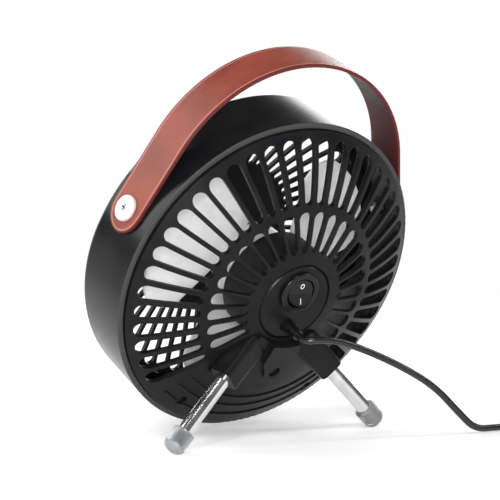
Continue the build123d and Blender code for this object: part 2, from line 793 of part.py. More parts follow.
# Rotor: a cup over the motor with its blades
with BuildPart() as fan_rotor:
    with BuildSketch(section_plane(math.pi / 2)):
        with BuildLine():
            Line((rotor_radius, rotor_rear), (rotor_radius, rotor_front + rotor_round))
            CenterArc((rotor_radius - rotor_round, rotor_front + rotor_round), rotor_round, 0, -90)
            Polyline(
                (rotor_radius - rotor_round, rotor_front),
                (0, rotor_front),
                (0, shaft_front),
                (shaft_radius + press_gap, shaft_front),
                (shaft_radius + press_gap, rotor_front + rotor_front_wall + rotor_boss_length),
                (rotor_boss, rotor_front + rotor_front_wall + rotor_boss_length),
                (rotor_boss, rotor_front + rotor_front_wall),
                (rotor_bore, rotor_front + rotor_front_wall),
                (rotor_bore, rotor_rear),
                (rotor_radius, rotor_rear))
        make_face()
    revolve(axis=FAN_AXIS)
    for number in range(blade_count):
        turn = blade_rest + 360 * number / blade_count
        add(blade.part.rotate(FAN_AXIS, -turn))
keep(fan_rotor, "fan_rotor")

# Grille screws: two screws in deep recesses, into the drum's lugs
with BuildPart() as grille_screws:
    for place in lug_places:
        seat = fan_plane(*place, lug_top + grille_screw_pad)
        with BuildSketch(seat):
            Circle(grille_screw_head)
        extrude(amount=grille_screw_head_height)
        with BuildSketch(seat):
            Circle(grille_screw_shank)
        extrude(amount=-(grille_screw_pad + lug_depth))
keep(grille_screws, "grille_screws")


# Strap: a flat band that wraps the drum at its ends, leaves it on a tangent and arches over it
def strap_edge(offset):
    """Corner points of half the strap's edge, at an offset outwards from its inner face."""
    seat = strap_seat + offset
    arch = strap_arch + offset
    foot = around(arch, strap_angle)
    middle = around(arch, strap_angle / 2)
    return (around(seat, strap_end_angle), around(seat, (strap_end_angle + strap_angle) / 2),
            around(seat, strap_angle), (foot[0], foot[1] + strap_rise),
            (middle[0], middle[1] + strap_rise), (0, arch + strap_rise))


with BuildPart() as carry_strap:
    with BuildSketch(fan_plane(0, 0, strap_middle - strap_width / 2)):
        inner_edge = strap_edge(0)
        outer_edge = strap_edge(strap_wall)
        with BuildLine():
            for edge in (inner_edge, outer_edge):
                ThreePointArc(*edge[0:3])
                Line(edge[2], edge[3])
                ThreePointArc(*edge[3:6])
            Line(inner_edge[0], outer_edge[0])
            Line(inner_edge[5], outer_edge[5])
        make_face()
        mirror(about=Plane.YZ)
    extrude(amount=strap_width)
    for side, plane in zip(strap_sides, strap_planes):
        with BuildSketch(plane):
            with Locations((0, side * (strap_width + overrun) / 2)):
                Rectangle(strap_width + 2 * overrun, strap_width + overrun)
            Circle(strap_width / 2, mode=Mode.SUBTRACT)
        extrude(amount=strap_wall + overrun, both=True, mode=Mode.SUBTRACT)
        with BuildSketch(plane):
            Circle(strap_screw_shank + fit_gap)
        extrude(amount=strap_wall + overrun, both=True, mode=Mode.SUBTRACT)
keep(carry_strap, "carry_strap")

with BuildPart() as strap_screws:
    for plane in strap_planes:
        with BuildSketch(plane.offset(strap_wall)):
            Circle(strap_screw_head)
        extrude(amount=strap_screw_height)
        top = strap_screws.faces().sort_by(Axis(plane.origin, plane.z_dir))[-1]
        fillet(top.edges(), strap_screw_round)
        with BuildSketch(plane.offset(strap_wall + strap_screw_height - cross_depth)):
            Rectangle(cross_length, cross_width)
            Rectangle(cross_width, cross_length)
        extrude(amount=strap_screw_height, mode=Mode.SUBTRACT)
        with BuildSketch(plane.offset(strap_wall)):
            Circle(strap_screw_shank)
        extrude(amount=-strap_screw_length)
keep(strap_screws, "strap_screws")

nut_seat = math.sqrt(drum_bore**2 - nut_radius**2) - fit_gap - strap_seat
with BuildPart() as strap_nuts:
    for plane in strap_planes:
        with BuildSketch(plane.offset(nut_seat)):
            RegularPolygon(nut_radius, 6)
            Circle(strap_screw_shank + shaft_gap, mode=Mode.SUBTRACT)
        extrude(amount=-nut_height)
keep(strap_nuts, "strap_nuts")

# Stand: the legs' lines, and how far along them the caps reach the floor
lift = math.radians(leg_lift)
splay = math.radians(leg_splay)
leg_exit_height = dome(math.hypot(leg_exit_out, leg_exit_down)) + leg_exit_off
leg_sides = (("right", 1), ("left", -1))
leg_planes = {}
for name, side in leg_sides:
    along = fan_vector(side * math.cos(lift) * math.sin(splay), -math.cos(lift) * math.cos(splay),
                       math.sin(lift))
    across = fan_vector(-side * math.cos(splay), -math.sin(splay), 0)
    start = fan_point(side * leg_exit_out, -leg_exit_down, leg_exit_height)
    leg_planes[name] = Plane(origin=start, x_dir=across, z_dir=along)
leg_fall = -leg_planes["right"].z_dir.Z
cap_low = (cap_radius - cap_round) * math.sqrt(1 - leg_fall**2) + cap_round
cap_end = cap_round + (leg_planes["right"].origin.Z - cap_low + cap_flat) / leg_fall
cap_start = cap_end - cap_length

# Bracket: a plate on the dome with two sleeves and a screwed tongue, hollowed to the dome's curve
with BuildPart() as stand_bracket:
    with BuildSketch(section_plane(math.pi + math.radians(plate_half_angle))):
        with BuildLine():
            middle_radius = (plate_in + plate_out) / 2
            ThreePointArc((plate_in, dome(plate_in, -plate_wall)),
                          (middle_radius, dome(middle_radius, -plate_wall)),
                          (plate_out, dome(plate_out, -plate_wall)))
            Line((plate_out, dome(plate_out, -plate_wall)), (plate_out, dome(plate_out)))
            ThreePointArc((plate_out, dome(plate_out)), (middle_radius, dome(middle_radius)),
                          (plate_in, dome(plate_in)))
            Line((plate_in, dome(plate_in)), (plate_in, dome(plate_in, -plate_wall)))
        make_face()
    revolve(axis=FAN_AXIS, revolution_arc=2 * plate_half_angle)
    for plane in leg_planes.values():
        with BuildSketch(plane):
            RectangleRounded(sleeve_width, sleeve_height, sleeve_round)
        extrude(amount=-sleeve_length, taper=-sleeve_draft)
    with BuildSketch(tongue_plane):
        Circle(tongue_lobe)
        with BuildLine():
            Polyline(
                (-tongue_lobe, 0), (tongue_lobe, 0),
                (tongue_shoulder / 2, tongue_shoulder_rise), (tongue_width / 2, tongue_length),
                (-tongue_width / 2, tongue_length), (-tongue_shoulder / 2, tongue_shoulder_rise),
                close=True)
        make_face()
    extrude(amount=tongue_wall)
    with Locations(fan_point(0, 0, dome_centre)):
        Sphere(dome_ball + fit_gap, mode=Mode.SUBTRACT)
    with BuildSketch(fan_plane(0, 0, boss_face)):
        Circle(plate_in)
    extrude(amount=dome_rise, mode=Mode.SUBTRACT)
    for plane in leg_planes.values():
        with BuildSketch(plane):
            Circle(leg_radius + fit_gap)
        extrude(amount=-socket_depth, mode=Mode.SUBTRACT)
    with BuildSketch(tongue_plane.offset(tongue_wall - bracket_screw_recess)):
        Circle(bracket_screw_head + fit_gap)
    extrude(amount=tongue_wall, mode=Mode.SUBTRACT)
    with BuildSketch(tongue_plane):
        Circle(bracket_screw_shank + fit_gap)
    extrude(amount=tongue_wall, mode=Mode.SUBTRACT)
keep(stand_bracket, "stand_bracket")

for name, plane in leg_planes.items():
    with BuildPart() as leg_tube:
        with BuildSketch(plane.offset(fit_gap - socket_depth)):
            Circle(leg_radius)
            Circle(leg_radius - leg_wall, mode=Mode.SUBTRACT)
        extrude(amount=socket_depth + cap_start + cap_socket - 2 * fit_gap)
    keep(leg_tube, f"leg_tube_{name}")
    with BuildPart() as foot_cap:
        with BuildSketch(plane.offset(cap_start)):
            Circle(cap_radius)
        extrude(amount=cap_length)
        fillet(foot_cap.faces().sort_by(Axis(plane.origin, plane.z_dir))[-1].edges(), cap_round)
        with BuildSketch(plane.offset(cap_start)):
            Circle(leg_radius + fit_gap)
        extrude(amount=cap_socket, mode=Mode.SUBTRACT)
        cap_tip = plane.offset(cap_end).origin
        with BuildSketch(Plane.XY):
            with Locations((cap_tip.X, cap_tip.Y)):
                Circle(2 * cap_radius)
        extrude(amount=-overrun, mode=Mode.SUBTRACT)
    keep(foot_cap, f"foot_cap_{name}")

with BuildPart() as bracket_screw:
    seat = tongue_plane.offset(tongue_wall - bracket_screw_recess)
    with BuildSketch(seat):
        Circle(bracket_screw_head)
    extrude(amount=bracket_screw_height)
    with BuildSketch(seat):
        Circle(bracket_screw_shank)
    extrude(amount=-bracket_screw_length)
keep(bracket_screw, "bracket_screw")

# Cord relief: a flanged sleeve through the hub cover
relief_end = hub_top + relief_reach
relief_plane = Plane(origin=fan_point(0, -relief_drop, 0), x_dir=FAN.x_dir, z_dir=FAN.x_dir.cross(FAN.z_dir))
with BuildPart() as cord_relief:
    with BuildSketch(relief_plane):
        with BuildLine():
            plate_back = hub_top - hub_plate
            Polyline(
                (0, plate_back - relief_flange_wall),
                (relief_flange, plate_back - relief_flange_wall),
                (relief_flange, plate_back),
                (relief_root, plate_back),
                (relief_root, hub_top),
                (relief_tip, relief_end),
                (0, relief_end),
                close=True)
        make_face()
        for number in range(relief_grooves):
            middle = relief_end - (2 * number + 1.5) * relief_groove
            with Locations((relief_root, middle)):
                Rectangle(2 * (relief_root - relief_tip + relief_groove_depth), relief_groove,
                          mode=Mode.SUBTRACT)
    revolve(axis=Axis(relief_plane.origin, FAN.z_dir))
keep(cord_relief, "cord_relief")

# Inner leads: cord to switch, cord to board, and switch to board
wire_top = hub_top - hub_plate - relief_flange_wall
terminal_edge = switch_rise - terminal_width / 2
cord_wire = fan_point(*cord_wire_place, wire_top)
board_wire = fan_point(*board_wire_place, housing_front)
wire_routes = (
    (fan_point(-wire_spread, -relief_drop, wire_top),
     fan_point(-wire_spread, -relief_drop, wire_level),
     fan_point(-terminal_spread, -board_wire_drop, wire_level),
     fan_point(-terminal_spread, terminal_edge, wire_level)),
    (fan_point(terminal_spread, terminal_edge, wire_level),
     fan_point(*board_wire_place, wire_level),
     board_wire),
    (cord_wire, fan_point(*cord_wire_place, housing_front)))
with BuildPart() as inner_leads:
    for route in wire_routes:
        with BuildLine() as path:
            if len(route) > 2:
                FilletPolyline(*route, radius=wire_bend)
            else:
                Line(*route)
        with BuildSketch(Plane(origin=route[0], z_dir=route[1] - route[0])):
            RegularPolygon(wire_radius, cord_sides)
        sweep(path=path.line)
keep(inner_leads, "inner_leads")


# Cord: a lead from the relief to the floor, and a coil of the rest
coil_in_radius = coil_middle_radius - coil_turns * coil_pitch / 2
coil_out_radius = coil_middle_radius + coil_turns * coil_pitch / 2
coil_back = coil_turns + coil_climb
coil_clear = 2 * coil_turns
coil_end = coil_clear + coil_swing


def coil_point(turn):
    """The coil's line after some turns: in on the floor, up as it turns back, out on top, then clear."""
    climb = min(max((turn - coil_turns) / coil_climb, 0), 1)
    if turn <= coil_turns:
        radius = coil_out_radius - coil_pitch * turn
    elif turn <= coil_back:
        radius = coil_in_radius - coil_dip * math.sin(math.pi * climb)
    else:
        radius = coil_in_radius + coil_pitch * (min(turn, coil_clear) - coil_back)
        past = min(max((turn - coil_clear) / coil_swing, 0), 1)
        radius += coil_swing_out * past**2 * (3 - 2 * past)
    angle = math.pi / 2 + 2 * math.pi * turn
    return Vector(coil_place[0] + radius * math.cos(angle),
                  coil_place[1] + radius * math.sin(angle),
                  cord_floor + coil_layer * climb)


def coil_heading(turn):
    """The coil's direction at a turn."""
    step = coil_swing / 100
    return (coil_point(turn + step) - coil_point(turn - step)).normalized()


def biarc(start, heading, end, end_heading):
    """Two tangent arcs from one point and heading to another."""
    chord = end - start
    both = chord.dot(heading + end_heading)
    spare = 2 * (1 - heading.dot(end_heading))
    reach = (math.sqrt(both**2 + spare * chord.dot(chord)) - both) / spare
    first = start + heading * reach
    last = end - end_heading * reach
    joint = (first + last) * 0.5
    TangentArc(start, joint, tangent=heading)
    TangentArc(joint, end, tangent=last - first)


def offset_arcs(start, end, heading):
    """Two tangent arcs that shift a line sideways and keep its heading."""
    middle = (start + end) * 0.5
    chord = (end - start).normalized()
    TangentArc(start, middle, tangent=heading)
    TangentArc(middle, end, tangent=chord * (2 * chord.dot(heading)) - heading)


relief_point = fan_point(0, -relief_drop, relief_end)
coil_start = coil_point(0) + Vector(2 * cord_radius, 0, 0)
lead_route = (
    relief_point,
    relief_point + FAN.z_dir * relief_straight,
    Vector(-6.2, 50.4, 55.6),
    Vector(-17.5, 52.0, 54.8),
    Vector(-35.0, 55.2, 48.7),
    Vector(-56.0, 59.8, 39.2),
    Vector(-76.0, 64.2, 27.6),
    Vector(-92.0, 67.8, 11.8),
    Vector(-102.0, 70.0, 2.6),
    Vector(-115.0, 72.8, 2.6),
    Vector(-132.0, 75.7, 2.6),
    Vector(-160.0, coil_start.Y, coil_start.Z),
    coil_start)
lead_bends = []
for before, corner, after in zip(lead_route, lead_route[1:], lead_route[2:]):
    arriving = corner - before
    leaving = after - corner
    half_turn = math.radians(arriving.get_angle(leaving)) / 2
    lead_bends.append(bend_share * min(arriving.length, leaving.length) / math.tan(half_turn))

with BuildPart() as cord_lead:
    with BuildLine() as lead_line:
        FilletPolyline(*lead_route, radius=lead_bends)
    with BuildSketch(Plane(origin=relief_point, z_dir=FAN.z_dir)) as cord_section:
        RegularPolygon(cord_radius, cord_sides)
    sweep(path=lead_line.line)
keep(cord_lead, "cord_lead")

tail_start = coil_point(coil_end)
tail_end = Vector(tail_start.X, tail_start.Y - coil_tail, plug_height / 2 + plug_lift)
plug_face = tail_end - Vector(0, 2 * cord_radius, 0)
with BuildPart() as cord_coil:
    with BuildLine() as coil_line:
        Line(coil_start, coil_point(0))
        turn = 0.0
        heading = Vector(-1, 0, 0)
        while turn < coil_end:
            step = coil_step if turn + coil_step < coil_end else coil_end - turn
            next_heading = coil_heading(turn + step) if turn + step < coil_end else Vector(0, -1, 0)
            biarc(coil_point(turn), heading, coil_point(turn + step), next_heading)
            turn += step
            heading = next_heading
        offset_arcs(tail_start, tail_end, heading)
        Line(tail_end, plug_face - Vector(0, plug_socket, 0))
    with BuildSketch(Plane(origin=coil_start, z_dir=(-1, 0, 0))):
        RegularPolygon(cord_radius, cord_sides)
    sweep(path=coil_line.line)
keep(cord_coil, "cord_coil")

# Tie: a band round one side of the coil
tie_in = coil_in_radius - cord_radius - tie_slack
tie_out = coil_out_radius + cord_radius
tie_top = cord_floor + coil_layer + cord_radius + fit_gap + tie_wall
with BuildPart() as coil_tie:
    with BuildSketch(Plane(origin=(coil_place[0] + (tie_in + tie_out) / 2, coil_place[1], tie_top / 2),
                           x_dir=(1, 0, 0), z_dir=(0, -1, 0))):
        RectangleRounded(tie_out - tie_in + 2 * tie_wall, tie_top, 2 * tie_wall)
        RectangleRounded(tie_out - tie_in, tie_top - 2 * tie_wall, tie_wall, mode=Mode.SUBTRACT)
    extrude(amount=tie_width / 2, both=True)
keep(coil_tie, "coil_tie")

# Plug: a moulded grip with a tapered neck, and a folded metal shell round a tongue
neck_plane = Plane(origin=plug_face, x_dir=(-1, 0, 0), z_dir=(0, -1, 0))
grip_plane = neck_plane.offset(plug_neck_length)
nose_plane = grip_plane.offset(plug_length)
shell_plane = nose_plane.offset(-shell_bite)
with BuildPart() as usb_plug_body:
    with BuildSketch(neck_plane):
        Circle(plug_neck_radius)
    with BuildSketch(grip_plane):
        Circle(plug_neck_base)
    loft()
    with BuildSketch(grip_plane):
        RectangleRounded(plug_width, plug_height, plug_round)
    extrude(amount=plug_length)
    fillet(usb_plug_body.faces().filter_by(Axis.Y).sort_by(Axis.Y)[0].edges(), plug_round / 2)
    with BuildSketch(neck_plane):
        Circle(cord_radius + fit_gap)
    extrude(amount=plug_socket + fit_gap, mode=Mode.SUBTRACT)
    with BuildSketch(shell_plane):
        Rectangle(shell_width + 2 * fit_gap, shell_height + 2 * fit_gap)
    extrude(amount=shell_length, mode=Mode.SUBTRACT)
keep(usb_plug_body, "usb_plug_body")

with BuildPart() as usb_plug_shell:
    with BuildSketch(shell_plane):
        Rectangle(shell_width, shell_height)
        Rectangle(shell_width - 2 * shell_wall, shell_height - 2 * shell_wall, mode=Mode.SUBTRACT)
    extrude(amount=shell_length)
keep(usb_plug_shell, "usb_plug_shell")

with BuildPart() as usb_plug_tongue:
    with BuildSketch(shell_plane):
        with Locations((0, (shell_height - tongue_height) / 2 - shell_wall - fit_gap)):
            Rectangle(shell_width - 2 * shell_wall - 2 * fit_gap, tongue_height)
    extrude(amount=shell_length - tongue_inset)
keep(usb_plug_tongue, "usb_plug_tongue")

# What the cord measures
section_area = cord_section.sketch.area
for piece, line in ((cord_lead, lead_line), (cord_coil, coil_line)):
    length = line.wire().length
    print(piece.part.label, "length", round(length, 1), "volume", round(piece.part.volume, 1),
          "section times length", round(section_area * length, 1))
print("lead bends", [round(bend, 1) for bend in lead_bends])
samples = int(coil_line.wire().length / cord_radius)
spots = [coil_line.wire().position_at(index / samples) for index in range(samples + 1)]
apart = int(coil_turn_apart * 2 * math.pi * coil_in_radius / cord_radius)
nearest = min((spots[i] - spots[j]).length for i in range(len(spots)) for j in range(i + apart, len(spots)))
print("coil gap to itself", round(nearest - 2 * cord_radius, 2))
box = Compound(children=made).bounding_box()
print("box", [round(v, 2) for v in (*box.min, *box.max)], "pieces", len(made))
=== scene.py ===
import json
import math

import bmesh
import bpy
from mathutils import Matrix, Vector


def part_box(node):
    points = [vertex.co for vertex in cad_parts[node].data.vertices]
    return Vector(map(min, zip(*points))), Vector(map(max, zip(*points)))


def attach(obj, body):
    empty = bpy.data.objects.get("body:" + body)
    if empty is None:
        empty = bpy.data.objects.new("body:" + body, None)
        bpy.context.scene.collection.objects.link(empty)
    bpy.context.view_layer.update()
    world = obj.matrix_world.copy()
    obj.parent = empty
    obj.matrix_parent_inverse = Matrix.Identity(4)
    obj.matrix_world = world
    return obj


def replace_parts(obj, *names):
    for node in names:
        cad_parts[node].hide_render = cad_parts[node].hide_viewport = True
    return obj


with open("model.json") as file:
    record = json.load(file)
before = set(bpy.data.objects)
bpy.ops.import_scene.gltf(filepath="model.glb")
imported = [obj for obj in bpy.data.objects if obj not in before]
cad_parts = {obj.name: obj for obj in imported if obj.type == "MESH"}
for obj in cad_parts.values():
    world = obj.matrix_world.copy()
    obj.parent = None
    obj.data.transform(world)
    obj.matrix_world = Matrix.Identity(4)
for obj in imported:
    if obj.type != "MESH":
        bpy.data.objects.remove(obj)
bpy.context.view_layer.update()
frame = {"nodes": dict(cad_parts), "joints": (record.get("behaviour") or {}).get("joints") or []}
nodes = frame["nodes"]
scene = bpy.context.scene
scene.view_settings.view_transform = "Standard"

# Fan axes, from the rotor's joint: c to the right seen from behind, b up the disc, a rearwards
MM = 0.001
JOINT_DEPTH = 10 * MM     # of the rotor's joint in front of the drum's rear rim
spin = next(joint for joint in frame["joints"] if joint["name"] == "rotor_spin")
RIGHT = Vector((-1, 0, 0))
BACK = Vector(spin["axis"]).normalized()
UP = BACK.cross(RIGHT)
RIM = Vector(spin["pos_m"]) + BACK * JOINT_DEPTH


def fan(c, b, a):
    """The point at fan coordinates in metres."""
    return RIM + RIGHT * c + UP * b + BACK * a


# Camera
PIXELS = 500
FOCAL_PIXELS = 1417.5
SENSOR = 36.0
CAMERA_PLACE = Vector((0.4483, 0.6072, 0.17075))
PAN = math.radians(36.33)
PITCH = math.radians(-5.56)
ROLL = math.radians(1.64)
forward = Vector((-math.cos(PITCH) * math.sin(PAN), -math.cos(PITCH) * math.cos(PAN), math.sin(PITCH)))
level = Vector((-math.cos(PAN), math.sin(PAN), 0))
top = level.cross(forward)
side = level * math.cos(ROLL) + top * math.sin(ROLL)
rise = top * math.cos(ROLL) - level * math.sin(ROLL)
camera = bpy.data.objects.new("camera", bpy.data.cameras.new("camera"))
scene.collection.objects.link(camera)
camera.data.sensor_width = SENSOR
camera.data.lens = FOCAL_PIXELS * SENSOR / PIXELS
camera.matrix_world = Matrix.Translation(CAMERA_PLACE) @ Matrix((side, rise, -forward)).transposed().to_4x4()
scene.camera = camera


# Materials, with noise scales in cycles per metre
CLOUD = (0.3, 0.7)        # noise between which a finish goes from dark to light
PLASTIC_CLOUDS = 60.0
PLASTIC_GRAIN = 2500.0
PLASTIC_DEPTH = 0.006 * MM
GRAIN_DETAIL = 2.0
METAL_CLOUDS = 90.0
METAL_GRAIN = 1800.0
METAL_DETAIL = 3.0
METAL_EDGE = 0.3 * MM
# depths before the drum's rear rim over which a painted reflection makes its lip paler
LIP_REFLECTION_FADE = (-0.9 * MM, -0.5 * MM)
LIP_ROUGH = (0.24, 0.42)  # of the drum, and of its lip
LIP_EDGE = 0.5 * MM
HIDE_CELLS = 800.0
HIDE_CREASE = 0.35        # of a cell, from its edge to its full height
HIDE_CLOUDS = 40.0
HIDE_DETAIL = 6.0
PAINTED_EDGE_HIGHLIGHT = (0.82, 0.88)     # of the strap's half width, where its face turns pale with a painted highlight
LAPPED = (0.9, 0.93)      # and where the edge paint covers it
PAINT_CLOUDS = 250.0
PAINT_GRAIN = 1500.0
PAINT_DEPTH = 0.008 * MM
PAINT_EDGE = 0.3 * MM
PAINT_ROUGH = (0.28, 0.38)
# Painted shade on the white paint, from ambient occlusion within this reach
PAINTED_SHADE_REACH = 1.2 * MM
PAINTED_SHADE_OPENNESS = (0.45, 0.75)     # openness between which the paint goes from its painted shade colour to its plain colour
BEVEL_SAMPLES = 6
PAINTED_SHADE_SAMPLES = 8
MIX_COLOURS = (6, 7)      # sockets of the Mix node, which has a set for each kind of value
MIX_COLOUR = 2
MIX_NUMBERS = (2, 3)
MIX_NUMBER = 0


def material(name, colour, roughness, metallic=0.0, **inputs):
    """A principled material, with its node tree and shader."""
    made = bpy.data.materials.new(name)
    made.use_nodes = True
    tree = made.node_tree
    shader = tree.nodes["Principled BSDF"]
    shader.inputs["Base Color"].default_value = (*colour, 1)
    shader.inputs["Roughness"].default_value = roughness
    shader.inputs["Metallic"].default_value = metallic
    for key, value in inputs.items():
        shader.inputs[key.replace("_", " ")].default_value = value
    return made, tree, shader


def coordinates(tree, output="Object"):
    """A texture coordinate socket."""
    return tree.nodes.new("ShaderNodeTexCoord").outputs[output]


def noise(tree, scale, detail=4.0):
    """A noise texture in object space."""
    made = tree.nodes.new("ShaderNodeTexNoise")
    made.inputs["Scale"].default_value = scale
    made.inputs["Detail"].default_value = detail
    tree.links.new(coordinates(tree), made.inputs["Vector"])
    return made.outputs["Fac"]


def spread(tree, source, low, high, to_low=0.0, to_high=1.0):
    """A source mapped smoothly from one range to another."""
    made = tree.nodes.new("ShaderNodeMapRange")
    made.interpolation_type = "SMOOTHSTEP"
    made.inputs["From Min"].default_value = low
    made.inputs["From Max"].default_value = high
    made.inputs["To Min"].default_value = to_low
    made.inputs["To Max"].default_value = to_high
    tree.links.new(source, made.inputs["Value"])
    return made.outputs["Result"]


def blend(tree, share, first, second):
    """A mix of two colours, each given as a colour or as a socket."""
    made = tree.nodes.new("ShaderNodeMix")
    made.data_type = "RGBA"
    tree.links.new(share, made.inputs["Factor"])
    for number, value in zip(MIX_COLOURS, (first, second)):
        if isinstance(value, tuple):
            made.inputs[number].default_value = (*value, 1)
        else:
            tree.links.new(value, made.inputs[number])
    return made.outputs[MIX_COLOUR]


def clouded(tree, shader, cloud, dark, light, rough):
    """The colour of a cloudy finish, whose gloss follows the same clouds."""
    tree.links.new(spread(tree, cloud, *CLOUD, *rough), shader.inputs["Roughness"])
    return blend(tree, spread(tree, cloud, *CLOUD), dark, light)


def bump(tree, shader, height, depth, edge=None):
    """A bump in metres over edges that a bevel in metres makes soft."""
    made = tree.nodes.new("ShaderNodeBump")
    made.inputs["Strength"].default_value = 1.0
    made.inputs["Distance"].default_value = depth
    tree.links.new(height, made.inputs["Height"])
    if edge:
        soft = tree.nodes.new("ShaderNodeBevel")
        soft.inputs["Radius"].default_value = edge
        soft.samples = BEVEL_SAMPLES
        tree.links.new(soft.outputs["Normal"], made.inputs["Normal"])
    tree.links.new(made.outputs["Normal"], shader.inputs["Normal"])


def moulded(name, dark, light, rough, grain, depth, edge=None, **inputs):
    """Moulded plastic or rubber: spark grain, cloudy colour and gloss, and soft edges."""
    made, tree, shader = material(name, light, rough[1], **inputs)
    colour = clouded(tree, shader, noise(tree, PLASTIC_CLOUDS), dark, light, rough)
    tree.links.new(colour, shader.inputs["Base Color"])
    bump(tree, shader, noise(tree, grain, GRAIN_DETAIL), depth, edge)
    return made


def metal(name, dark, light, rough, depth):
    """A metal with a cloudy finish and a faint grain."""
    made, tree, shader = material(name, light, rough[1], 1.0)
    colour = clouded(tree, shader, noise(tree, METAL_CLOUDS), dark, light, rough)
    tree.links.new(colour, shader.inputs["Base Color"])
    bump(tree, shader, noise(tree, METAL_GRAIN, METAL_DETAIL), depth, METAL_EDGE)
    return made


def height_along(tree, origin, direction):
    """The distance along a direction from an origin, in object space."""
    away = tree.nodes.new("ShaderNodeVectorMath")
    away.operation = "SUBTRACT"
    away.inputs[1].default_value = origin
    tree.links.new(coordinates(tree), away.inputs[0])
    made = tree.nodes.new("ShaderNodeVectorMath")
    made.operation = "DOT_PRODUCT"
    made.inputs[1].default_value = direction
    tree.links.new(away.outputs["Vector"], made.inputs[0])
    return made.outputs["Value"]


def plastic_with_painted_lip_reflection(name, dark, light, lip):
    """The drum's plastic, with a painted reflection: a paler colour in a band round its rear edge."""
    made, tree, shader = material(name, dark, 0.3, Specular_IOR_Level=0.14)
    # Painted reflection: the colour turns to the paler lip colour near the rear rim.
    edge = spread(tree, height_along(tree, RIM, BACK), *LIP_REFLECTION_FADE)
    plain = blend(tree, spread(tree, noise(tree, PLASTIC_CLOUDS), *CLOUD), dark, light)
    tree.links.new(blend(tree, edge, plain, lip), shader.inputs["Base Color"])
    tree.links.new(spread(tree, edge, 0, 1, *LIP_ROUGH), shader.inputs["Roughness"])
    bump(tree, shader, noise(tree, PLASTIC_GRAIN, GRAIN_DETAIL), PLASTIC_DEPTH, LIP_EDGE)
    return made


def leather(name, dark, light, rim, paint, rough, depth):
    """Smooth leather: fine cells and cloudy dye, a painted highlight that makes it paler near the edge, and
    edge paint that laps over it.
    """
    made, tree, shader = material(name, light, rough[1], Specular_IOR_Level=0.22)
    cells = tree.nodes.new("ShaderNodeTexVoronoi")
    cells.feature = "DISTANCE_TO_EDGE"
    cells.inputs["Scale"].default_value = HIDE_CELLS
    tree.links.new(coordinates(tree), cells.inputs["Vector"])
    across = tree.nodes.new("ShaderNodeSeparateXYZ")
    tree.links.new(coordinates(tree, "UV"), across.inputs["Vector"])
    dye = clouded(tree, shader, noise(tree, HIDE_CLOUDS, HIDE_DETAIL), dark, light, rough)
    # Painted highlight: the face takes the pale rim colour near its edge.
    edge_highlight = blend(tree, spread(tree, across.outputs["Y"], *PAINTED_EDGE_HIGHLIGHT), dye, rim)
    lapped = blend(tree, spread(tree, across.outputs["Y"], *LAPPED), edge_highlight, paint)
    tree.links.new(lapped, shader.inputs["Base Color"])
    bump(tree, shader, spread(tree, cells.outputs["Distance"], 0, HIDE_CREASE), depth)
    return made


def painted(name, recess_shade_colour, dark, light):
    """White paint, with painted shade that darkens it where it lies in a recess."""
    made, tree, shader = material(name, light, 0.32)
    recess = tree.nodes.new("ShaderNodeAmbientOcclusion")
    recess.samples = PAINTED_SHADE_SAMPLES
    recess.inputs["Distance"].default_value = PAINTED_SHADE_REACH
    plain = clouded(tree, shader, noise(tree, PAINT_CLOUDS), dark, light, PAINT_ROUGH)
    # Painted shade: the occlusion mixes in the dark shade colour in a recess.
    colour = blend(tree, spread(tree, recess.outputs["AO"], *PAINTED_SHADE_OPENNESS), recess_shade_colour, plain)
    tree.links.new(colour, shader.inputs["Base Color"])
    bump(tree, shader, noise(tree, PAINT_GRAIN, GRAIN_DETAIL), PAINT_DEPTH, PAINT_EDGE)
    return made


# The last colour is the painted reflection on the drum's lip.
shell_black = plastic_with_painted_lip_reflection("shell_plastic", (0.006, 0.006, 0.007), (0.01, 0.01, 0.011), (0.05, 0.05, 0.052))
black = moulded("black_plastic", (0.006, 0.006, 0.007), (0.01, 0.01, 0.011), (0.28, 0.36), PLASTIC_GRAIN,
                PLASTIC_DEPTH, 0.5 * MM, Specular_IOR_Level=0.14)
grille_black = moulded("grille_plastic", (0.005, 0.005, 0.006), (0.009, 0.009, 0.01), (0.3, 0.38),
                       PLASTIC_GRAIN, PLASTIC_DEPTH, 0.6 * MM, Specular_IOR_Level=0.13)
gloss_black = moulded("switch_plastic", (0.005, 0.005, 0.006), (0.008, 0.008, 0.009), (0.18, 0.24), 3000,
                      0.003 * MM, 0.4 * MM, Specular_IOR_Level=0.25)
matt_black = moulded("inner_plastic", (0.006, 0.006, 0.007), (0.012, 0.012, 0.013), (0.5, 0.6), 2000,
                     0.02 * MM, Specular_IOR_Level=0.18)
rubber = moulded("cord_rubber", (0.006, 0.006, 0.006), (0.012, 0.012, 0.012), (0.24, 0.3), 1800, 0.006 * MM)
pale = moulded("rotor_plastic", (0.86, 0.87, 0.88), (0.95, 0.95, 0.95), (0.22, 0.34), 1500, 0.004 * MM,
               0.3 * MM, Subsurface_Weight=0.6, Subsurface_Radius=(1, 1, 1), Subsurface_Scale=6 * MM)
silicone = moulded("silicone", (0.47, 0.48, 0.49), (0.57, 0.58, 0.59), (0.26, 0.34), 900, 0.01 * MM, 0.5 * MM,
                   Transmission_Weight=0.85, IOR=1.41)
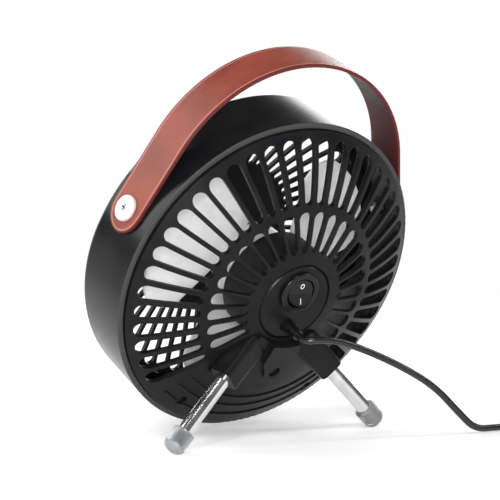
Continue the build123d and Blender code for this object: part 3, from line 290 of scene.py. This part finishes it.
# The first colour is the painted shade in a recess.
white_paint = painted("white_paint", (0.03, 0.03, 0.03), (0.55, 0.54, 0.53), (0.66, 0.65, 0.64))
board_green = moulded("board", (0.03, 0.16, 0.08), (0.05, 0.25, 0.12), (0.3, 0.4), 900, 0.01 * MM)
wire_red = moulded("wire", (0.35, 0.03, 0.03), (0.5, 0.06, 0.05), (0.4, 0.5), 900, 0.01 * MM)
chrome = metal("chrome", (0.7, 0.7, 0.71), (0.82, 0.82, 0.83), (0.16, 0.24), 0.002 * MM)
steel = metal("steel", (0.42, 0.42, 0.43), (0.56, 0.56, 0.57), (0.25, 0.38), 0.01 * MM)
black_steel = metal("black_steel", (0.02, 0.02, 0.021), (0.04, 0.04, 0.041), (0.3, 0.42), 0.01 * MM)
brass = metal("brass", (0.14, 0.1, 0.045), (0.22, 0.16, 0.075), (0.35, 0.5), 0.01 * MM)
copper = metal("copper", (0.5, 0.2, 0.1), (0.7, 0.34, 0.18), (0.25, 0.35), 0.02 * MM)
iron = metal("iron", (0.12, 0.12, 0.13), (0.22, 0.22, 0.24), (0.4, 0.5), 0.01 * MM)
ink = moulded("ink", (0.74, 0.74, 0.74), (0.84, 0.84, 0.84), (0.4, 0.5), 1500, 0.004 * MM)
edge_paint = (0.1, 0.013, 0.011)
back_dye = (0.085, 0.019, 0.022)
# The third colour is the painted highlight near the strap's edge.
hide = leather("leather", (0.18, 0.039, 0.025), (0.27, 0.06, 0.038), (0.46, 0.17, 0.125), edge_paint,
               (0.36, 0.46), 0.05 * MM)
hide_edge = leather("leather_edge", (0.06, 0.008, 0.007), edge_paint, edge_paint, edge_paint,
                    (0.4, 0.5), 0.03 * MM)
hide_back = leather("leather_back", (0.045, 0.01, 0.012), back_dye, back_dye, edge_paint,
                    (0.5, 0.65), 0.05 * MM)

finishes = {
    shell_black: ("drum_shell",),
    black: ("hub_cover", "stand_bracket"),
    grille_black: ("rear_grille", "front_grille"),
    gloss_black: ("switch_body", "rocker"),
    matt_black: ("motor_housing", "usb_plug_tongue"),
    rubber: ("cord_relief", "coil_tie", "usb_plug_body"),
    pale: ("fan_rotor",),
    silicone: ("foot_cap_left", "foot_cap_right"),
    white_paint: ("strap_screws",),
    chrome: ("leg_tube_left", "leg_tube_right"),
    steel: ("rocker_pin", "motor_screws", "rotor_ring", "rotor_shaft", "shaft_clip", "usb_plug_shell"),
    black_steel: ("grille_screws", "bracket_screw"),
    brass: ("switch_terminals", "shaft_bearings", "strap_nuts"),
    copper: ("stator_windings",),
    iron: ("stator_core", "rotor_magnet"),
    board_green: ("motor_board",),
    wire_red: ("inner_leads",),
}
for finish, names in finishes.items():
    for name in names:
        nodes[name].data.materials.clear()
        nodes[name].data.materials.append(finish)


def add_mesh(name, shape, body, slot, *finish):
    """A smooth mesh object from a bmesh, on a body, with its finishes; the slot argument is not used."""
    mesh = bpy.data.meshes.new(name)
    shape.to_mesh(mesh)
    shape.free()
    mesh.shade_smooth()
    for one in finish:
        mesh.materials.append(one)
    made = bpy.data.objects.new(name, mesh)
    scene.collection.objects.link(made)
    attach(made, body)
    return made


# Strap: a flat band with round ends, thickened, bent along its path and rounded at its edges
STRAP_WIDTH = 24.6 * MM
STRAP_WALL = 1.8 * MM
STRAP_MIDDLE = -20 * MM
STRAP_SEAT = 90.1 * MM    # radius of the drum's side of it
STRAP_NARROW = 15.5 * MM
STRAP_GAP = 26.6 * MM
STRAP_COLUMNS = 120
STRAP_ROWS = 5            # each side of its middle line
STRAP_FAN = 14            # steps round an end
STRAP_ROUND = 0.4 * MM
STRAP_ROUND_STEPS = 4
STRAP_CORNER = math.radians(60)
strap_finishes = (hide, hide_back, hide_edge)
OUTSIDE, INSIDE, EDGE = range(len(strap_finishes))
strap_rise = STRAP_NARROW + STRAP_GAP
strap_arch = STRAP_SEAT - STRAP_NARROW
strap_angle = math.acos(STRAP_NARROW / strap_rise)
arch_run = strap_arch * strap_angle
line_run = strap_rise * math.sin(strap_angle)
screw_run = arch_run + line_run


def strap_place(along, across, lift):
    """The point at a distance along the strap from its top, across it, and outwards from its inner face."""
    run = abs(along)
    angle = strap_angle
    if run <= arch_run:
        angle = run / strap_arch
    elif run > screw_run:
        angle = strap_angle + (run - screw_run) / STRAP_SEAT
    reach = lift + (STRAP_SEAT if run > screw_run else strap_arch)
    out = reach * math.sin(angle)
    high = reach * math.cos(angle)
    if run <= screw_run:
        straight = max(run - arch_run, 0)
        out += straight * math.cos(strap_angle)
        high += strap_rise - straight * math.sin(strap_angle)
    return fan(math.copysign(out, along), high, STRAP_MIDDLE + across)


def flat_strap():
    """The flat band: columns and rows between the screws, and half discs round them."""
    shape = bmesh.new()
    half = STRAP_WIDTH / 2
    grid = {}
    for column in range(STRAP_COLUMNS + 1):
        along = screw_run * (2 * column / STRAP_COLUMNS - 1)
        for row in range(-STRAP_ROWS, STRAP_ROWS + 1):
            grid[column, row] = shape.verts.new((along, half * row / STRAP_ROWS, 0))
    for column in range(STRAP_COLUMNS):
        for row in range(-STRAP_ROWS, STRAP_ROWS):
            shape.faces.new((grid[column, row], grid[column + 1, row],
                             grid[column + 1, row + 1], grid[column, row + 1]))
    for column, way in ((0, -1), (STRAP_COLUMNS, 1)):
        middle = grid[column, 0]
        ring_before = [middle] * (STRAP_FAN + 1)
        for row in range(1, STRAP_ROWS + 1):
            radius = half * row / STRAP_ROWS
            ring = [grid[column, -row]]
            for step in range(1, STRAP_FAN):
                angle = math.pi * (step / STRAP_FAN - 0.5)
                ring.append(shape.verts.new((middle.co.x + way * radius * math.cos(angle),
                                             radius * math.sin(angle), 0)))
            ring.append(grid[column, row])
            for step in range(STRAP_FAN):
                corners = (ring_before[step], ring[step], ring[step + 1], ring_before[step + 1])
                shape.faces.new(tuple(dict.fromkeys(corners)))
            ring_before = ring
    return shape


def edge_share(along, across):
    """How near a point of the flat band is to its edge: 0 in the middle, 1 at the edge."""
    return math.hypot(max(abs(along) - screw_run, 0), across) / (STRAP_WIDTH / 2)


def make_strap():
    """The leather strap, with its own finish outside, inside and round its edge."""
    shape = flat_strap()
    inner = list(shape.faces)
    raised = bmesh.ops.extrude_face_region(shape, geom=inner, use_keep_orig=True)["geom"]
    outer = {item for item in raised if isinstance(item, bmesh.types.BMFace)}
    for item in raised:
        if isinstance(item, bmesh.types.BMVert):
            item.co.z = STRAP_WALL
    inner = set(inner)
    uv = shape.loops.layers.uv.new("strap")
    for face in shape.faces:
        face.material_index = OUTSIDE if face in outer else INSIDE if face in inner else EDGE
        for loop in face.loops:
            loop[uv].uv = (loop.vert.co.x, edge_share(loop.vert.co.x, loop.vert.co.y))
    for vert in shape.verts:
        vert.co = strap_place(*vert.co)
    bmesh.ops.recalc_face_normals(shape, faces=shape.faces)
    strap = add_mesh("strap", shape, "stand", "leather", *strap_finishes)
    soft = strap.modifiers.new("round edge", "BEVEL")
    soft.limit_method = "ANGLE"
    soft.angle_limit = STRAP_CORNER
    soft.width = STRAP_ROUND
    soft.segments = STRAP_ROUND_STEPS
    soft.material = EDGE
    strap.modifiers.new("even", "WEIGHTED_NORMAL").keep_sharp = True
    return strap


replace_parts(make_strap(), "carry_strap")

# Switch marks: a ring for off on the upper face of the paddle, and a bar for on below it
MARK_LIFT = 0.05 * MM
MARK_HEIGHT = 3.0 * MM
MARK_LINE = 0.55 * MM
MARK_OVAL = 0.84          # width of the ring over its height
MARK_STEPS = 48
PADDLE_THROW = math.radians(26)
PADDLE_VALLEY = Vector((0, 6.5, 25.9)) * MM
MARK_AWAY = 4.1 * MM      # from the valley to a mark's middle


def mark_plane(slope, way):
    """The middle, the upward direction and the normal of a mark on one face of the paddle."""
    up = UP * math.cos(slope) - BACK * math.sin(slope)
    normal = UP * math.sin(slope) + BACK * math.cos(slope)
    return fan(*PADDLE_VALLEY) + up * (way * MARK_AWAY) + normal * MARK_LIFT, up, normal


def add_mark(name, plane, outer, inner=None):
    """A thin printed mark: the area inside an outline, or between two."""
    middle, up, normal = plane
    shape = bmesh.new()
    loops = []
    for outline in filter(None, (outer, inner)):
        loops.append([shape.verts.new(middle + RIGHT * x + up * y) for x, y in outline])
    if inner:
        for step in range(len(outer)):
            after = (step + 1) % len(outer)
            shape.faces.new((loops[0][step], loops[0][after], loops[1][after], loops[1][step]))
    else:
        shape.faces.new(loops[0])
    bmesh.ops.recalc_face_normals(shape, faces=shape.faces)
    mark = add_mesh(name, shape, "rocker", "screw_white", ink)
    body = mark.modifiers.new("ink", "SOLIDIFY")
    body.thickness = MARK_LIFT
    body.offset = 0
    return mark


def ring(height):
    """Points round an upright oval."""
    turns = [2 * math.pi * step / MARK_STEPS for step in range(MARK_STEPS)]
    half = height / 2
    return [(MARK_OVAL * half * math.cos(turn), half * math.sin(turn)) for turn in turns]


bar = [(x * MARK_LINE / 2, y * MARK_HEIGHT / 2) for x, y in ((-1, -1), (1, -1), (1, 1), (-1, 1))]
add_mark("mark_off", mark_plane(0, 1), ring(MARK_HEIGHT), ring(MARK_HEIGHT - 2 * MARK_LINE))
add_mark("mark_on", mark_plane(PADDLE_THROW, -1), bar)

# Cord: one smooth line from the relief to the floor and round the put-away coil
CORD = 3.8 * MM
CORD_IN_PLUG = 0.9 * CORD
LEAD = (                  # the first two points lie on the relief's axis, at its tip and straight behind it
    (0, 0.0415091, 0.0570845), (0, 0.0470500, 0.0547826),
    (-0.0062, 0.0504, 0.0556), (-0.0175, 0.0520, 0.0548), (-0.0350, 0.0552, 0.0487),
    (-0.0560, 0.0598, 0.0392), (-0.0760, 0.0642, 0.0276), (-0.0920, 0.0678, 0.0118),
    (-0.1020, 0.0700, 0.0026), (-0.1150, 0.0728, 0.0026), (-0.1320, 0.0757, 0.0026),
    (-0.1600, 0.07725, 0.0026), (-0.1852, 0.07725, 0.0026))
COIL_MIDDLE = Vector((-0.189, 0.0495, 0.0026))
COIL_OUT = 27.75 * MM
COIL_IN = 14.25 * MM
COIL_PITCH = 4.5 * MM
COIL_LAYER = 4.4 * MM
COIL_DIP = 0.8 * MM
COIL_SWING_OUT = 5.4 * MM
COIL_TURNS = 3
COIL_CLIMB = 0.5
COIL_SWING = 0.25
COIL_STEPS = 16           # points in a turn


def coil_point(turn):
    """The coil's line after some turns: in on the floor, up as it turns back, out on top, then clear."""
    climb = min(max((turn - COIL_TURNS) / COIL_CLIMB, 0), 1)
    back = COIL_TURNS + COIL_CLIMB
    if turn <= COIL_TURNS:
        radius = COIL_OUT - COIL_PITCH * turn
    elif turn <= back:
        radius = COIL_IN - COIL_DIP * math.sin(math.pi * climb)
    else:
        radius = COIL_IN + COIL_PITCH * (min(turn, 2 * COIL_TURNS) - back)
        past = min(max((turn - 2 * COIL_TURNS) / COIL_SWING, 0), 1)
        radius += COIL_SWING_OUT * past ** 2 * (3 - 2 * past)
    angle = math.pi / 2 + 2 * math.pi * turn
    return COIL_MIDDLE + Vector((radius * math.cos(angle), radius * math.sin(angle), COIL_LAYER * climb))


def make_cord():
    """The cord's curve, from the relief to inside the plug."""
    steps = int((2 * COIL_TURNS + COIL_SWING) * COIL_STEPS)
    turns = [coil_point(step / COIL_STEPS) for step in range(1, steps + 1)]
    plug_low, plug_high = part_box("usb_plug_body")
    plug = Vector(((plug_low.x + plug_high.x) / 2, plug_high.y, (plug_low.z + plug_high.z) / 2))
    outside = Vector((0, CORD, 0))
    inside = Vector((0, CORD_IN_PLUG, 0))
    ends = (turns[-1] - outside, plug + outside, plug - inside)
    route = [Vector(point) for point in LEAD] + turns + list(ends)
    line = bpy.data.curves.new("cord", "CURVE")
    line.dimensions = "3D"
    spline = line.splines.new("NURBS")
    spline.points.add(len(route) - 1)
    for point, place in zip(spline.points, route):
        point.co = (*place, 1)
    spline.order_u = 3
    spline.use_endpoint_u = True
    spline.resolution_u = 6
    line.bevel_depth = CORD / 2
    line.bevel_resolution = 5
    line.use_fill_caps = True
    line.materials.append(rubber)
    cord = bpy.data.objects.new("cord", line)
    scene.collection.objects.link(cord)
    return cord, route[0]


cord, cord_exit = make_cord()
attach(cord, "stand")
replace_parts(cord, "cord_lead", "cord_coil")

# Floor and world: white to the camera and in reflections, with a dim even light on the object
FLOOR_HALF = 8.0
FLOOR_NEAR = 0.30
FLOOR_FAR = 0.60
FLOOR_GLOW = 0.32         # added to the lit floor near the object, which keeps its shadow
SKY_LIGHT = 0.15
SKY_TOP = 0.1             # what reflections show high up, and white near the floor
SKY_FADE = (0.0, 0.12)


def seen_rays(tree):
    """1 for the rays that show the background: to the camera, in gloss and through clear pieces."""
    rays = tree.nodes.new("ShaderNodeLightPath")
    seen = rays.outputs["Is Camera Ray"]
    for name in ("Is Glossy Ray", "Is Transmission Ray"):
        either = tree.nodes.new("ShaderNodeMath")
        either.operation = "MAXIMUM"
        tree.links.new(seen, either.inputs[0])
        tree.links.new(rays.outputs[name], either.inputs[1])
        seen = either.outputs["Value"]
    return seen


def choose(tree, share, first, second):
    """The first number or the second, as a share goes from 0 to 1."""
    made = tree.nodes.new("ShaderNodeMix")
    tree.links.new(share, made.inputs["Factor"])
    for number, value in zip(MIX_NUMBERS, (first, second)):
        if isinstance(value, float):
            made.inputs[number].default_value = value
        else:
            tree.links.new(value, made.inputs[number])
    return made.outputs[MIX_NUMBER]


def product(tree, first, second):
    """The product of two sockets."""
    made = tree.nodes.new("ShaderNodeMath")
    made.operation = "MULTIPLY"
    tree.links.new(first, made.inputs[0])
    tree.links.new(second, made.inputs[1])
    return made.outputs["Value"]


floor_shape = bmesh.new()
bmesh.ops.create_grid(floor_shape, x_segments=1, y_segments=1, size=FLOOR_HALF)
floor_mesh = bpy.data.meshes.new("floor")
floor_shape.to_mesh(floor_mesh)
floor_shape.free()
floor = bpy.data.objects.new("floor", floor_mesh)
scene.collection.objects.link(floor)
paper, tree, shader = material("paper", (0.86, 0.86, 0.86), 0.9, Specular_IOR_Level=0.0)
floor_mesh.materials.append(paper)
distance = tree.nodes.new("ShaderNodeVectorMath")
distance.operation = "LENGTH"
tree.links.new(coordinates(tree), distance.inputs[0])
seen = seen_rays(tree)
far = spread(tree, distance.outputs["Value"], FLOOR_NEAR, FLOOR_FAR)
white = tree.nodes.new("ShaderNodeEmission")
glow = tree.nodes.new("ShaderNodeEmission")
tree.links.new(spread(tree, seen, 0, 1, 0, FLOOR_GLOW), glow.inputs["Strength"])
lit = tree.nodes.new("ShaderNodeAddShader")
tree.links.new(shader.outputs["BSDF"], lit.inputs[0])
tree.links.new(glow.outputs["Emission"], lit.inputs[1])
mix = tree.nodes.new("ShaderNodeMixShader")
tree.links.new(product(tree, far, seen), mix.inputs["Fac"])
tree.links.new(lit.outputs["Shader"], mix.inputs[1])
tree.links.new(white.outputs["Emission"], mix.inputs[2])
tree.links.new(mix.outputs["Shader"], tree.nodes["Material Output"].inputs["Surface"])

world = bpy.data.worlds.new("studio")
scene.world = world
world.use_nodes = True
tree = world.node_tree
sky = tree.nodes["Background"]
sky.inputs["Color"].default_value = (1, 1, 1, 1)
height = tree.nodes.new("ShaderNodeSeparateXYZ")
tree.links.new(coordinates(tree, "Generated"), height.inputs["Vector"])
low_white = spread(tree, height.outputs["Z"], *SKY_FADE, 1.0, SKY_TOP)
rays = tree.nodes.new("ShaderNodeLightPath")
shown = choose(tree, seen_rays(tree), SKY_LIGHT, low_white)
tree.links.new(choose(tree, rays.outputs["Is Camera Ray"], shown, 1.0), sky.inputs["Strength"])


def lamp(name, place, aim, width, height, power):
    """A soft rectangular lamp at a place, turned to a point."""
    made = bpy.data.objects.new(name, bpy.data.lights.new(name, "AREA"))
    made.data.shape = "RECTANGLE"
    made.data.size = width
    made.data.size_y = height
    made.data.energy = power
    made.location = place
    made.rotation_euler = (Vector(aim) - Vector(place)).to_track_quat("-Z", "Y").to_euler()
    scene.collection.objects.link(made)


lamp("over", (0.3, 0.5, 1.3), (0.0, 0.0, 0.0), 0.3, 0.3, 4.0)
lamp("key", (0.56, 0.82, 0.22), (0.0, 0.0, 0.08), 0.4, 0.3, 10.0)
lamp("left", (0.8, -0.65, 0.85), (0.0, 0.0, 0.1), 0.5, 1.0, 9.0)
lamp("rim", (-0.95, -1.0, 0.45), (0.0, 0.0, 0.1), 0.7, 0.9, 9.0)
lamp("front", (0.15, -1.2, 0.45), (0.0, 0.0, 0.1), 0.8, 0.5, 7.0)
lamp("glint", (-0.91, 0.48, 0.76), (-0.05, 0.058, 0.04), 0.1, 0.6, 4.0)
